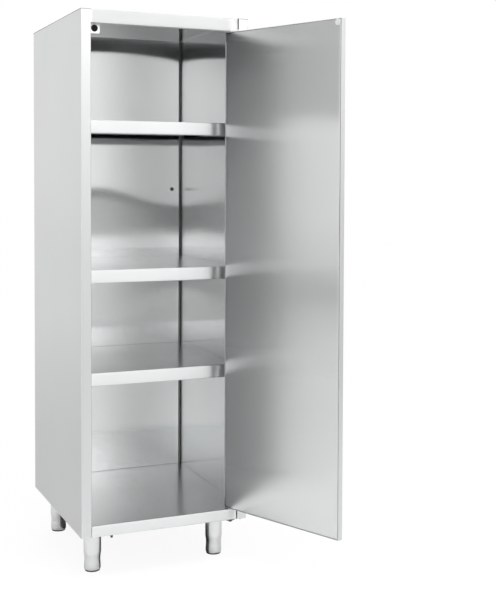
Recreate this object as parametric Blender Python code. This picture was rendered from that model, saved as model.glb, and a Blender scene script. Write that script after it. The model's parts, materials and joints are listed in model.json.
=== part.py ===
"""Upright stainless steel cabinet: folded sheet body on four round legs, three lift-out shelves
and one full-height door on pivot pins, standing open.

Metres, +Z up. The body frame has X across the front, Y from the front plane to the back and Z up
from the ground. An empty carries it, so that the origin lies on the ground under the middle of
the whole object's bounding box.
"""

import math

import bmesh
import bpy
from mathutils import Matrix, Vector

# Body
BODY_WIDTH = 0.600
BODY_DEPTH = 0.690
BODY_HEIGHT = 1.765
SHEET = 0.0012
FOLD_RADIUS = 0.0016

# Fits shared by all the pieces
SEAT_GAP = 0.0003
OVERRUN = 0.003

# Front frame
STILE_WIDTH = 0.035
STILE_DEPTH = 0.0225
STILE_FLANGE = 0.018
REAR_FLANGE = 0.020
RAIL_HEIGHT = 0.045
RAIL_RETURN = 0.020
RAIL_HEM = 0.012
SLIT_WIDTH = 0.0028
SLIT_FOOT = 0.009
SLIT_TOP = 0.003

# Back and floor
BACK_FLANGE = 0.013
FLOOR_HEIGHT = 0.038
FLOOR_RETURN = 0.018
FLOOR_REAR_FLANGE = 0.030

# Shelves: heights of their tops above the lower edge of the body
SHELF_TOPS = {"lower": 0.539, "middle": 0.893, "upper": 1.405}
SHELF_SETBACK = 0.086
SHELF_LIP = 0.045
SHELF_RETURN = 0.016
SHELF_HEM = 0.008
SHELF_REAR_FLANGE = 0.022
SHELF_SIDE_GAP = 0.0006
STIFFENER_WIDTH = 0.060
STIFFENER_HEIGHT = 0.024
STIFFENER_BRIM = 0.015

# Runners that carry the shelves
RUNNER_LEG = 0.030
RUNNER_SEAT = 0.022
RUNNER_SHEET = 0.0015
RUNNER_INSET = 0.040

# Legs and feet
LEG_HEIGHT = 0.155
LEG_RADIUS = 0.030
LEG_WAIST_RADIUS = 0.0275
LEG_WALL = 0.0015
LEG_TAPER_TOP = 0.066
LEG_INSET_SIDE = 0.073
LEG_INSET_FRONT = 0.130
LEG_INSET_REAR = 0.080
LEG_PLATE = 0.120
LEG_PLATE_THICKNESS = 0.004
LEG_PLATE_CORNER = 0.008
CHANNEL_WIDTH = 0.134
FOOT_HEIGHT = 0.0415
FOOT_RADIUS = 0.029
FOOT_BELLY = 0.020
FOOT_CORNER = 0.006
FOOT_NECK = 0.003
PAD_HEIGHT = 0.003
PAD_RADIUS = 0.022
STUD_RADIUS = 0.006
STUD_TOP = 0.110
INSERT_HEIGHT = 0.016
INSERT_LIFT = 0.008

# Door
DOOR_THICKNESS = 0.020
DOOR_SHEET = 0.0010
DOOR_GAP = 0.003
DOOR_EDGE_BEVEL = 0.0008
DOOR_OPEN_ANGLE = 112.0
PIVOT_SETBACK = 0.020
PIN_RADIUS = 0.004
PIN_CHAMFER = 0.001
PIN_REACH = 0.013
PIN_BLOCK_LENGTH = 0.034
PIN_BLOCK_HEIGHT = 0.030
DOOR_STIFFENER_WIDTH = 0.080
DOOR_STIFFENER_BRIM = 0.020
DOOR_STIFFENER_END = 0.060

# Pivot hardware on the body
BUSH_WALL = 0.002
BUSH_FLANGE_RADIUS = 0.0085
TOP_BUSH_FLANGE = 0.002
BUSH_DEPTH = 0.0075
PIVOT_PLATE_THICKNESS = 0.003
PIVOT_PLATE_LENGTH = 0.040

# Catch
CATCH_THICKNESS = 0.0015
CATCH_WIDTH = 0.036
CATCH_DROP = 0.032
CATCH_RISE = 0.010
CATCH_FOOT = 0.016
CATCH_CORNER = 0.003
CATCH_SCREW_INSET = 0.009
MAGNET_RADIUS = 0.0115
MAGNET_LENGTH = 0.011
MAGNET_DROP = 0.015
MAGNET_CHAMFER = 0.0012
STRIKER_RADIUS = 0.011
STRIKER_THICKNESS = 0.0012
STRIKER_SHANK = 0.002
STRIKER_TAIL = 0.003

# Grip on the outer face of the door
GRIP_HEIGHT = 0.160
GRIP_BASE = 0.020
GRIP_STANDOFF = 0.026
GRIP_LIP = 0.014
GRIP_SHEET = 0.0015
GRIP_INSET = 0.048
GRIP_CENTRE = 1.000
GRIP_SCREW_INSET = 0.025

# Screws
SCREW_HEAD = 0.0038
SCREW_DOME = 0.0022
SCREW_SHANK = 0.0019
SCREW_LENGTH = 0.0080
SCREW_DOME_SHARE = 0.6

# Counts that set how round the round pieces are, and the angle up to which edges are smooth
LEG_SIDES = 24
SMALL_SIDES = 12
FOLD_STEPS = 2
TAPER_STEPS = 4
CORNER_STEPS = 4
SMOOTH_ANGLE = 28.0

# Lengths worked out from the driving ones
half_width = BODY_WIDTH / 2
body_bottom = LEG_HEIGHT
body_top = LEG_HEIGHT + BODY_HEIGHT
wall_inside = half_width - SHEET
opening_half = half_width - STILE_WIDTH
panel_half = wall_inside - SEAT_GAP
roof_underside = body_top - SHEET
back_rear = BODY_DEPTH - SHEET - FOLD_RADIUS
back_inside = back_rear - BACK_FLANGE
floor_rear = back_inside - SEAT_GAP
floor_top = body_bottom + FLOOR_HEIGHT
channel_web = body_bottom + LEG_PLATE_THICKNESS + SEAT_GAP
pivot_x = opening_half - DOOR_GAP - PIVOT_SETBACK
pivot_y = DOOR_THICKNESS / 2
door_width = 2 * (opening_half - DOOR_GAP)
door_reach = door_width - PIVOT_SETBACK
rail_bottom = body_top - RAIL_HEIGHT
door_bottom = floor_top + DOOR_GAP
door_top = rail_bottom - DOOR_GAP
bush_bore = PIN_RADIUS + SEAT_GAP
bush_outside = bush_bore + BUSH_WALL
bush_hole = bush_outside + SEAT_GAP
bottom_bush_flange = DOOR_GAP - 2 * SEAT_GAP
magnet_x = CATCH_WIDTH / 2 - opening_half
magnet_z = rail_bottom - MAGNET_DROP

steel = ((0.66, 0.67, 0.67), 0.28, 1.0)
dark_steel = ((0.42, 0.43, 0.44), 0.35, 1.0)
magnet_black = ((0.02, 0.02, 0.022), 0.45, 0.0)
nylon = ((0.78, 0.78, 0.74), 0.50, 0.0)
pad_grey = ((0.12, 0.12, 0.125), 0.60, 0.0)


def clear_scene():
    for obj in list(bpy.data.objects):
        bpy.data.objects.remove(obj, do_unlink=True)


def add_empty(name, location, turn=0.0, parent=None):
    empty = bpy.data.objects.new(name, None)
    bpy.context.scene.collection.objects.link(empty)
    empty.location = location
    empty.rotation_euler = (0.0, 0.0, turn)
    empty.parent = parent
    return empty


def finish_mesh(name, mesh_data, look, parent):
    """Makes the object of a bmesh, with its faces turned outwards and a material of its own."""
    bmesh.ops.recalc_face_normals(mesh_data, faces=mesh_data.faces)
    mesh = bpy.data.meshes.new(name)
    mesh_data.to_mesh(mesh)
    mesh_data.free()
    obj = bpy.data.objects.new(name, mesh)
    bpy.context.scene.collection.objects.link(obj)
    obj.parent = parent
    if look:
        colour, roughness, metallic = look
        material = bpy.data.materials.new(name)
        material.use_nodes = True
        shader = material.node_tree.nodes["Principled BSDF"]
        shader.inputs["Base Color"].default_value = (*colour, 1.0)
        shader.inputs["Roughness"].default_value = roughness
        shader.inputs["Metallic"].default_value = metallic
        mesh.materials.append(material)
    mesh.shade_smooth()
    mesh.set_sharp_from_angle(angle=math.radians(SMOOTH_ANGLE))
    return obj


def add_box(mesh_data, low, high):
    """Adds a closed box between two corners."""
    low, high = Vector(low), Vector(high)
    size = high - low
    place = Matrix.Translation((low + high) / 2) @ Matrix.Diagonal((*size, 1.0))
    bmesh.ops.create_cube(mesh_data, size=1.0, matrix=place)


def box_object(name, low, high, look, parent):
    mesh_data = bmesh.new()
    add_box(mesh_data, low, high)
    return finish_mesh(name, mesh_data, look, parent)


def turned(mesh_data, profile, place, sides):
    """Adds a turned solid. The profile lists (radius, height) from the bottom centre to the top centre."""
    rings = []
    for radius, height in profile:
        if radius == 0.0:
            rings.append([mesh_data.verts.new(place @ Vector((0.0, 0.0, height)))])
            continue
        ring = []
        for index in range(sides):
            angle = 2 * math.pi * index / sides
            point = Vector((radius * math.cos(angle), radius * math.sin(angle), height))
            ring.append(mesh_data.verts.new(place @ point))
        rings.append(ring)
    for lower, upper in zip(rings, rings[1:]):
        for index in range(sides):
            after = (index + 1) % sides
            corners = [lower[index % len(lower)], lower[after % len(lower)]]
            corners += [upper[after % len(upper)], upper[index % len(upper)]]
            mesh_data.faces.new(list(dict.fromkeys(corners)))


def turned_ring(mesh_data, profile, place, sides):
    """Adds a turned solid with a bore: the profile is a closed loop of (radius, height)."""
    rings = []
    for radius, height in profile:
        ring = []
        for index in range(sides):
            angle = 2 * math.pi * index / sides
            point = Vector((radius * math.cos(angle), radius * math.sin(angle), height))
            ring.append(mesh_data.verts.new(place @ point))
        rings.append(ring)
    for number, lower in enumerate(rings):
        upper = rings[(number + 1) % len(rings)]
        for index in range(sides):
            after = (index + 1) % sides
            mesh_data.faces.new([lower[index], lower[after], upper[after], upper[index]])


def shifted_path(path, distance):
    """Moves a path of straight runs sideways by a distance, to the left of its travel."""
    points = [Vector(point) for point in path]
    normals = []
    for start, end in zip(points, points[1:]):
        run = (end - start).normalized()
        normals.append(Vector((-run.y, run.x)))
    shifted = [points[0] + normals[0] * distance]
    for index in range(1, len(points) - 1):
        before, after = normals[index - 1], normals[index]
        mitre = (before + after) / (1.0 + before.dot(after))
        shifted.append(points[index] + mitre * distance)
    shifted.append(points[-1] + normals[-1] * distance)
    return shifted


def folded_outline(path, thickness, radius, side):
    """Outline of a sheet folded along the path of its outer face.

    The sheet lies to the left of the path's travel where side is 1, to the right where it is -1.
    Each fold is an arc whose middle line has the radius plus half the thickness.
    """
    middle = shifted_path(path, side * thickness / 2)
    bend = radius + thickness / 2
    stations = [(middle[0], (middle[1] - middle[0]).normalized())]
    for index in range(1, len(middle) - 1):
        corner = middle[index]
        inward = (corner - middle[index - 1]).normalized()
        outward = (middle[index + 1] - corner).normalized()
        turn = -inward.angle_signed(outward)
        trim = bend * math.tan(abs(turn) / 2)
        normal = Vector((-inward.y, inward.x)) * math.copysign(1.0, turn)
        centre = corner - inward * trim + normal * bend
        for step in range(FOLD_STEPS + 1):
            angle = turn * step / FOLD_STEPS
            spin = Matrix.Rotation(angle, 2)
            stations.append((centre - (spin @ normal) * bend, spin @ inward))
    stations.append((middle[-1], (middle[-1] - middle[-2]).normalized()))
    left = [spot + Vector((-run.y, run.x)) * thickness / 2 for spot, run in stations]
    right = [spot - Vector((-run.y, run.x)) * thickness / 2 for spot, run in stations]
    return left + right[::-1]


def extruded(mesh_data, outline, plane, start, end):
    """Adds the prism of an outline. Plane names the outline's two axes; the prism runs along the third."""
    first, second = ("xyz".index(letter) for letter in plane)
    along = 3 - first - second
    caps = []
    for level in (start, end):
        cap = []
        for a, b in outline:
            point = [0.0, 0.0, 0.0]
            point[first] = a
            point[second] = b
            point[along] = level
            cap.append(mesh_data.verts.new(point))
        caps.append(cap)
    mesh_data.faces.new(caps[0])
    mesh_data.faces.new(caps[1])
    for index in range(len(outline)):
        after = (index + 1) % len(outline)
        mesh_data.faces.new([caps[0][index], caps[0][after], caps[1][after], caps[1][index]])


def folded_object(name, path, plane, start, end, look, parent, sheet=SHEET, side=1):
    """A folded sheet piece, extruded along the axis that its path's plane leaves."""
    mesh_data = bmesh.new()
    extruded(mesh_data, folded_outline(path, sheet, FOLD_RADIUS, side), plane, start, end)
    return finish_mesh(name, mesh_data, look, parent)


def boolean(target, tool, operation):
    """Cuts or joins with a helper object, which stays out of the render."""
    tool.hide_render = True
    tool.display_type = "WIRE"
    modifier = target.modifiers.new(operation.lower() + " " + tool.name, "BOOLEAN")
    modifier.operation = operation
    modifier.object = tool


def drill(targets, name, places, radius, depth, parent, sides=SMALL_SIDES):
    """Cuts a row of round holes through the targets. Each place is a matrix whose Z runs into the work."""
    mesh_data = bmesh.new()
    for place in places:
        profile = [(0.0, -OVERRUN), (radius, -OVERRUN), (radius, depth), (0.0, depth)]
        turned(mesh_data, profile, place, sides)
    cutter = finish_mesh(name, mesh_data, None, parent)
    for target in targets:
        boolean(target, cutter, "DIFFERENCE")


def aimed(point, direction):
    """Matrix at a point whose Z runs along a direction."""
    turn = Vector((0.0, 0.0, 1.0)).rotation_difference(Vector(direction))
    return Matrix.Translation(Vector(point)) @ turn.to_matrix().to_4x4()


def screws(name, places, targets, depth, parent):
    """Pan-head screws, each through its own hole. A place's Z runs into the work from the head's seat."""
    rim = SCREW_DOME / 2
    dome = SCREW_HEAD * SCREW_DOME_SHARE
    profile = [(0.0, -SEAT_GAP - SCREW_DOME), (dome, -SEAT_GAP - SCREW_DOME)]
    profile += [(SCREW_HEAD, -SEAT_GAP - rim), (SCREW_HEAD, -SEAT_GAP), (SCREW_SHANK, -SEAT_GAP)]
    profile += [(SCREW_SHANK, SCREW_LENGTH), (0.0, SCREW_LENGTH)]
    drill(targets, name + "_holes", places, SCREW_SHANK + SEAT_GAP, depth + OVERRUN, parent)
    for label, place in zip(("a", "b"), places):
        mesh_data = bmesh.new()
        turned(mesh_data, profile, place, SMALL_SIDES)
        finish_mesh(name + "_" + label, mesh_data, steel, parent)


def side_panel(name, sign, body):
    """Outer wall folded round the front into the stile, and round the back into a flange."""
    path = [
        (half_width - REAR_FLANGE, BODY_DEPTH),
        (half_width, BODY_DEPTH),
        (half_width, 0.0),
        (opening_half, 0.0),
        (opening_half, STILE_DEPTH),
        (opening_half + STILE_FLANGE, STILE_DEPTH),
    ]
    path = [(sign * x, y) for x, y in path]
    top = roof_underside - SEAT_GAP
    return folded_object(name, path, "xy", body_bottom, top, steel, body, side=-sign)


def back_panel(body):
    """Rear sheet, folded backwards along both walls, so that a groove runs down each inner corner."""
    path = [
        (-panel_half, back_rear),
        (-panel_half, back_inside),
        (panel_half, back_inside),
        (panel_half, back_rear),
    ]
    top = roof_underside - SEAT_GAP
    return folded_object("back_panel", path, "xy", body_bottom, top, steel, body)


def roof_panel(body):
    """Flat roof over the side panels; its front edge folds down into the rail between the stiles."""
    low = (-half_width, 0.0, roof_underside)
    high = (half_width, BODY_DEPTH, body_top)
    roof = box_object("roof_panel", low, high, steel, body)
    path = [
        (0.0, body_top - SHEET / 2),
        (0.0, rail_bottom),
        (RAIL_RETURN, rail_bottom),
        (RAIL_RETURN, rail_bottom + RAIL_HEM),
    ]
    rail_end = opening_half - SEAT_GAP
    rail = folded_object("rail_strip", path, "yz", -rail_end, rail_end, None, body)
    boolean(roof, rail, "UNION")
    slit_low = (rail_end - SLIT_WIDTH, -OVERRUN, rail_bottom + SLIT_FOOT)
    slit_high = (rail_end + OVERRUN, SHEET + OVERRUN, roof_underside - SEAT_GAP)
    slit = box_object("rail_slit", slit_low, slit_high, None, body)
    boolean(roof, slit, "DIFFERENCE")
    return roof


def floor_panel(body):
    """Bottom tray: floor sheet with a front lip between the stiles and a flange down at the rear."""
    path = [
        (floor_rear, floor_top - FLOOR_REAR_FLANGE),
        (floor_rear, floor_top),
        (0.0, floor_top),
        (0.0, body_bottom),
        (FLOOR_RETURN, body_bottom),
    ]
    floor = folded_object("floor_panel", path, "yz", -panel_half, panel_half, steel, body)
    lip_end = opening_half - SEAT_GAP
    rear = STILE_DEPTH + SEAT_GAP
    low, high = body_bottom - OVERRUN, floor_top + OVERRUN
    for name, sign in (("left_notch", -1), ("right_notch", 1)):
        inner, outer = sorted((sign * lip_end, sign * half_width))
        notch = box_object(name, (inner, -OVERRUN, low), (outer, rear, high), None, body)
        boolean(floor, notch, "DIFFERENCE")
    slit_low = (lip_end - SLIT_WIDTH, -OVERRUN, low)
    slit_high = (lip_end + SEAT_GAP, SHEET + OVERRUN, floor_top - SLIT_TOP)
    slit = box_object("lip_slit", slit_low, slit_high, None, body)
    boolean(floor, slit, "DIFFERENCE")
    return floor


def floor_channel(name, sign, body):
    """Open channel under the floor, from front to back, that the legs are bolted to."""
    middle = sign * (half_width - LEG_INSET_SIDE)
    top = floor_top - SHEET - SEAT_GAP
    path = [
        (middle - CHANNEL_WIDTH / 2, top),
        (middle - CHANNEL_WIDTH / 2, channel_web),
        (middle + CHANNEL_WIDTH / 2, channel_web),
        (middle + CHANNEL_WIDTH / 2, top),
    ]
    front = STILE_DEPTH + SEAT_GAP
    rear = floor_rear - SHEET - FOLD_RADIUS
    return folded_object(name, path, "xz", front, rear, dark_steel, body)


def leg_places():
    """Name and centre of each leg."""
    places = {}
    for depth_name, y in (("front", LEG_INSET_FRONT), ("rear", BODY_DEPTH - LEG_INSET_REAR)):
        for side_name, sign in (("left", -1), ("right", 1)):
            places[depth_name + "_" + side_name] = (sign * (half_width - LEG_INSET_SIDE), y)
    return places


def leg_plate(name, x, y, body):
    """Square plate with cut corners, under the channel's web."""
    reach = LEG_PLATE / 2
    cut = reach - LEG_PLATE_CORNER
    corners = [(reach, cut), (cut, reach), (-cut, reach), (-reach, cut)]
    corners += [(-a, -b) for a, b in corners]
    mesh_data = bmesh.new()
    outline = [(x + a, y + b) for a, b in corners]
    extruded(mesh_data, outline, "xy", body_bottom, body_bottom + LEG_PLATE_THICKNESS)
    return finish_mesh(name, mesh_data, dark_steel, body)


def leg_tube(name, x, y, body):
    """Round tube that draws in to a waist where the foot meets it."""
    top = body_bottom - SEAT_GAP
    bottom = FOOT_HEIGHT + SEAT_GAP
    outside = [(LEG_RADIUS, top)]
    for step in range(TAPER_STEPS + 1):
        share = step / TAPER_STEPS
        ease = (1 - math.cos(math.pi * share)) / 2
        radius = LEG_RADIUS + (LEG_WAIST_RADIUS - LEG_RADIUS) * ease
        outside.append((radius, LEG_TAPER_TOP + (bottom - LEG_TAPER_TOP) * share))
    inside = [(radius - LEG_WALL, height) for radius, height in reversed(outside)]
    mesh_data = bmesh.new()
    turned_ring(mesh_data, outside + inside, Matrix.Translation((x, y, 0.0)), LEG_SIDES)
    return finish_mesh(name, mesh_data, steel, body)


def leg_insert(name, x, y, body):
    """Threaded plug inside the tube, which the foot's stud runs in."""
    outside = LEG_WAIST_RADIUS - LEG_WALL - SEAT_GAP
    bore = STUD_RADIUS + SEAT_GAP
    low = FOOT_HEIGHT + INSERT_LIFT
    loop = [(outside, low), (outside, low + INSERT_HEIGHT), (bore, low + INSERT_HEIGHT), (bore, low)]
    mesh_data = bmesh.new()
    turned_ring(mesh_data, loop, Matrix.Translation((x, y, 0.0)), LEG_SIDES)
    return finish_mesh(name, mesh_data, dark_steel, body)


def foot(name, parent):
    """Bellied foot with a rounded lower edge and the stud that it screws up on."""
    base = PAD_HEIGHT + SEAT_GAP
    profile = [(0.0, base)]
    for step in range(CORNER_STEPS + 1):
        angle = math.pi / 2 * step / CORNER_STEPS
        radius = FOOT_RADIUS - FOOT_CORNER + FOOT_CORNER * math.sin(angle)
        profile.append((radius, base + FOOT_CORNER * (1 - math.cos(angle))))
    profile.append((FOOT_RADIUS, FOOT_BELLY))
    profile.append((LEG_WAIST_RADIUS, FOOT_HEIGHT - FOOT_NECK))
    profile.append((LEG_WAIST_RADIUS, FOOT_HEIGHT))
    profile += [(STUD_RADIUS, FOOT_HEIGHT), (STUD_RADIUS, STUD_TOP), (0.0, STUD_TOP)]
    mesh_data = bmesh.new()
    turned(mesh_data, profile, Matrix.Identity(4), LEG_SIDES)
    return finish_mesh(name, mesh_data, steel, parent)


def foot_pad(name, parent):
    """Plastic pad under the foot."""
    profile = [(0.0, 0.0), (PAD_RADIUS, 0.0), (PAD_RADIUS, PAD_HEIGHT), (0.0, PAD_HEIGHT)]
    mesh_data = bmesh.new()
    turned(mesh_data, profile, Matrix.Identity(4), LEG_SIDES)
    return finish_mesh(name, mesh_data, pad_grey, parent)


def leg_set(body):
    """The four legs: plates, tubes, inserts and the screw feet."""
    for name, (x, y) in leg_places().items():
        leg_plate("leg_plate_" + name, x, y, body)
        leg_tube("leg_tube_" + name, x, y, body)
        leg_insert("leg_insert_" + name, x, y, body)
        axis = add_empty("foot_axis_" + name, (x, y, 0.0), parent=body)
        foot("foot_" + name, axis)
        foot_pad("foot_pad_" + name, axis)


def shelf(name, top, body):
    """Shelf tray with a deep front lip, a rear flange and a stiffener across its underside."""
    lift = add_empty(name + "_lift", (0.0, 0.0, 0.0), parent=body)
    rear = back_inside - SEAT_GAP
    path = [
        (rear, top - SHELF_REAR_FLANGE),
        (rear, top),
        (SHELF_SETBACK, top),
        (SHELF_SETBACK, top - SHELF_LIP),
        (SHELF_SETBACK + SHELF_RETURN, top - SHELF_LIP),
        (SHELF_SETBACK + SHELF_RETURN, top - SHELF_LIP + SHELF_HEM),
    ]
    reach = wall_inside - SHELF_SIDE_GAP
    folded_object(name, path, "yz", -reach, reach, steel, lift)
    middle = (SHELF_SETBACK + rear) / 2
    high = top - SHEET - SEAT_GAP
    low = high - STIFFENER_HEIGHT
    hat = [
        (middle - STIFFENER_WIDTH / 2 - STIFFENER_BRIM, high),
        (middle - STIFFENER_WIDTH / 2, high),
        (middle - STIFFENER_WIDTH / 2, low),
        (middle + STIFFENER_WIDTH / 2, low),
        (middle + STIFFENER_WIDTH / 2, high),
        (middle + STIFFENER_WIDTH / 2 + STIFFENER_BRIM, high),
    ]
    hat_half = wall_inside - RUNNER_SHEET - RUNNER_SEAT - SHELF_SIDE_GAP
    stiffener_name = name + "_stiffener"
    folded_object(stiffener_name, hat, "yz", -hat_half, hat_half, dark_steel, lift, side=-1)


def shelf_runners(name, top, body):
    """Angle strips spot-welded to both walls, which the shelf rests on."""
    seat = top - SHEET - SEAT_GAP
    front = SHELF_SETBACK + SHELF_RETURN + RUNNER_INSET
    rear = back_inside - SHEET - RUNNER_INSET
    wall = wall_inside - SEAT_GAP
    for side_name, sign in (("left", -1), ("right", 1)):
        path = [(wall, seat - RUNNER_LEG), (wall, seat), (wall - RUNNER_SEAT, seat)]
        path = [(sign * x, z) for x, z in path]
        runner_name = name + "_" + side_name
        folded_object(
            runner_name, path, "xz", front, rear, dark_steel, body, sheet=RUNNER_SHEET, side=sign
        )


def shelves(body):
    """The three shelves and the runners under them."""
    for level, height in SHELF_TOPS.items():
        top = body_bottom + height
        shelf("shelf_" + level, top, body)
        shelf_runners("runner_" + level, top, body)


def bush(name, place, flange, body):
    """Flanged bush. The flange starts at the place's origin and the sleeve runs along Z."""
    loop = [
        (bush_bore, 0.0),
        (BUSH_FLANGE_RADIUS, 0.0),
        (BUSH_FLANGE_RADIUS, flange),
        (bush_outside, flange),
        (bush_outside, flange + BUSH_DEPTH),
        (bush_bore, flange + BUSH_DEPTH),
    ]
    mesh_data = bmesh.new()
    turned_ring(mesh_data, loop, place, 2 * SMALL_SIDES)
    return finish_mesh(name, mesh_data, nylon, body)


def pivot_seat(name, face, inward, flange, sheet_piece, body):
    """Plate behind a folded sheet and the bush in both. Inward points from the door into the sheet."""
    near = face + inward * (SHEET + SEAT_GAP)
    far = near + inward * PIVOT_PLATE_THICKNESS
    edge = SHEET + FOLD_RADIUS + SEAT_GAP
    low = (pivot_x - PIVOT_PLATE_LENGTH / 2, edge, min(near, far))
    high = (pivot_x + PIVOT_PLATE_LENGTH / 2, RAIL_RETURN - edge, max(near, far))
    plate = box_object(name + "_plate", low, high, dark_steel, body)
    mouth = aimed((pivot_x, pivot_y, face), (0.0, 0.0, inward))
    depth = SHEET + SEAT_GAP + PIVOT_PLATE_THICKNESS + OVERRUN
    sides = 2 * SMALL_SIDES
    drill([sheet_piece, plate], name + "_hole", [mouth], bush_hole, depth, body, sides)
    start = face - inward * (SEAT_GAP + flange)
    bush(name + "_bush", aimed((pivot_x, pivot_y, start), (0.0, 0.0, inward)), flange, body)


def magnet_catch(wall, body):
    """Plate in the upper corner away from the hinge, with the round magnet that holds the door shut."""
    front = STILE_DEPTH + SEAT_GAP
    left = -opening_half - CATCH_FOOT
    right = -opening_half + CATCH_WIDTH
    low = rail_bottom - CATCH_DROP
    high = rail_bottom + CATCH_RISE
    outline = [
        (left, low),
        (right - CATCH_CORNER, low),
        (right, low + CATCH_CORNER),
        (right, high),
        (left, high),
    ]
    mesh_data = bmesh.new()
    extruded(mesh_data, outline, "xz", front, front + CATCH_THICKNESS)
    plate = finish_mesh("catch_plate", mesh_data, steel, body)
    face = DOOR_THICKNESS + SEAT_GAP + STRIKER_THICKNESS + SEAT_GAP
    place = aimed((magnet_x, face, magnet_z), (0.0, 1.0, 0.0))
    rim = MAGNET_RADIUS - MAGNET_CHAMFER
    profile = [(0.0, 0.0), (rim, 0.0), (MAGNET_RADIUS, MAGNET_CHAMFER)]
    profile += [(MAGNET_RADIUS, MAGNET_LENGTH), (0.0, MAGNET_LENGTH)]
    mesh_data = bmesh.new()
    turned(mesh_data, profile, place, LEG_SIDES)
    finish_mesh("magnet", mesh_data, magnet_black, body)
    hole = MAGNET_RADIUS + SEAT_GAP
    drill([plate], "magnet_hole", [place], hole, MAGNET_LENGTH, body, LEG_SIDES)
    spots = []
    for z in (low + CATCH_SCREW_INSET, high - CATCH_SCREW_INSET):
        x = left + CATCH_SCREW_INSET
        spots.append(aimed((x, front + CATCH_THICKNESS, z), (0.0, -1.0, 0.0)))
    depth = CATCH_THICKNESS + SEAT_GAP + SHEET
    screws("catch_screw", spots, [plate, wall], depth, body)


def door_skins(hinge):
    """Outer pan with walls on all four sides, and the flat inner sheet that closes it."""
    split = pivot_y - DOOR_SHEET - SEAT_GAP
    pan_low = Vector((-door_reach, -pivot_y, door_bottom))
    pan_high = Vector((PIVOT_SETBACK, split, door_top))
    pan = box_object("door_outer_skin", pan_low, pan_high, steel, hinge)
    wall = Vector((DOOR_SHEET, DOOR_SHEET, DOOR_SHEET))
    hollow_low = pan_low + wall
    hollow_high = pan_high - wall
    hollow_high.y = split + OVERRUN
    bevel = pan.modifiers.new("rounded edges", "BEVEL")
    bevel.width = DOOR_EDGE_BEVEL
    bevel.segments = 2
    hollow = box_object("door_hollow", hollow_low, hollow_high, None, hinge)
    boolean(pan, hollow, "DIFFERENCE")
    sheet_low = (-door_reach, split + SEAT_GAP, door_bottom)
    sheet_high = (PIVOT_SETBACK, pivot_y, door_top)
    inner = box_object("door_inner_skin", sheet_low, sheet_high, steel, hinge)
    return pan, inner


def door_stiffener(hinge):
    """Hat-shaped stiffener standing inside the door."""
    outer = -pivot_y + DOOR_SHEET + SEAT_GAP
    inner = pivot_y - DOOR_SHEET - SEAT_GAP - SHEET
    middle = PIVOT_SETBACK - door_width / 2
    path = [
        (middle - DOOR_STIFFENER_WIDTH / 2 - DOOR_STIFFENER_BRIM, outer),
        (middle - DOOR_STIFFENER_WIDTH / 2, outer),
        (middle - DOOR_STIFFENER_WIDTH / 2, inner),
        (middle + DOOR_STIFFENER_WIDTH / 2, inner),
        (middle + DOOR_STIFFENER_WIDTH / 2, outer),
        (middle + DOOR_STIFFENER_WIDTH / 2 + DOOR_STIFFENER_BRIM, outer),
    ]
    low = door_bottom + DOOR_STIFFENER_END
    high = door_top - DOOR_STIFFENER_END
    folded_object("door_stiffener", path, "xy", low, high, dark_steel, hinge)


def door_pin(name, edge, direction, pan, hinge):
    """Pivot pin in a block inside the door's corner, standing out of the edge along the direction."""
    lift = DOOR_SHEET + SEAT_GAP
    near = edge - direction * lift
    far = near - direction * PIN_BLOCK_HEIGHT
    block_low = (
        PIVOT_SETBACK - lift - PIN_BLOCK_LENGTH,
        -pivot_y + lift,
        min(near, far),
    )
    block_high = (
        PIVOT_SETBACK - lift,
        pivot_y - lift - SEAT_GAP,
        max(near, far),
    )
    block = box_object(name + "_block", block_low, block_high, dark_steel, hinge)
    place = aimed((0.0, 0.0, edge + direction * PIN_REACH), (0.0, 0.0, -direction))
    length = PIN_REACH + lift + PIN_BLOCK_HEIGHT / 2
    profile = [(0.0, 0.0), (PIN_RADIUS - PIN_CHAMFER, 0.0), (PIN_RADIUS, PIN_CHAMFER)]
    profile += [(PIN_RADIUS, length), (0.0, length)]
    mesh_data = bmesh.new()
    turned(mesh_data, profile, place, 2 * SMALL_SIDES)
    finish_mesh(name, mesh_data, dark_steel, hinge)
    bore = PIN_RADIUS + SEAT_GAP
    drill([pan, block], name + "_hole", [place], bore, length + SEAT_GAP, hinge, 2 * SMALL_SIDES)


def striker(inner, hinge):
    """Round striker plate on the inner face of the door, which meets the magnet."""
    place = aimed((magnet_x - pivot_x, pivot_y, magnet_z), (0.0, -1.0, 0.0))
    outer_face = -SEAT_GAP - STRIKER_THICKNESS
    profile = [(0.0, outer_face), (STRIKER_RADIUS - STRIKER_THICKNESS / 2, outer_face)]
    profile += [(STRIKER_RADIUS, -SEAT_GAP - STRIKER_THICKNESS / 2), (STRIKER_RADIUS, -SEAT_GAP)]
    profile += [(STRIKER_SHANK, -SEAT_GAP), (STRIKER_SHANK, DOOR_SHEET + STRIKER_TAIL)]
    profile += [(0.0, DOOR_SHEET + STRIKER_TAIL)]
    mesh_data = bmesh.new()
    turned(mesh_data, profile, place, LEG_SIDES)
    finish_mesh("striker_plate", mesh_data, dark_steel, hinge)
    hole = STRIKER_SHANK + SEAT_GAP
    drill([inner], "striker_hole", [place], hole, DOOR_SHEET + OVERRUN, hinge)


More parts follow.
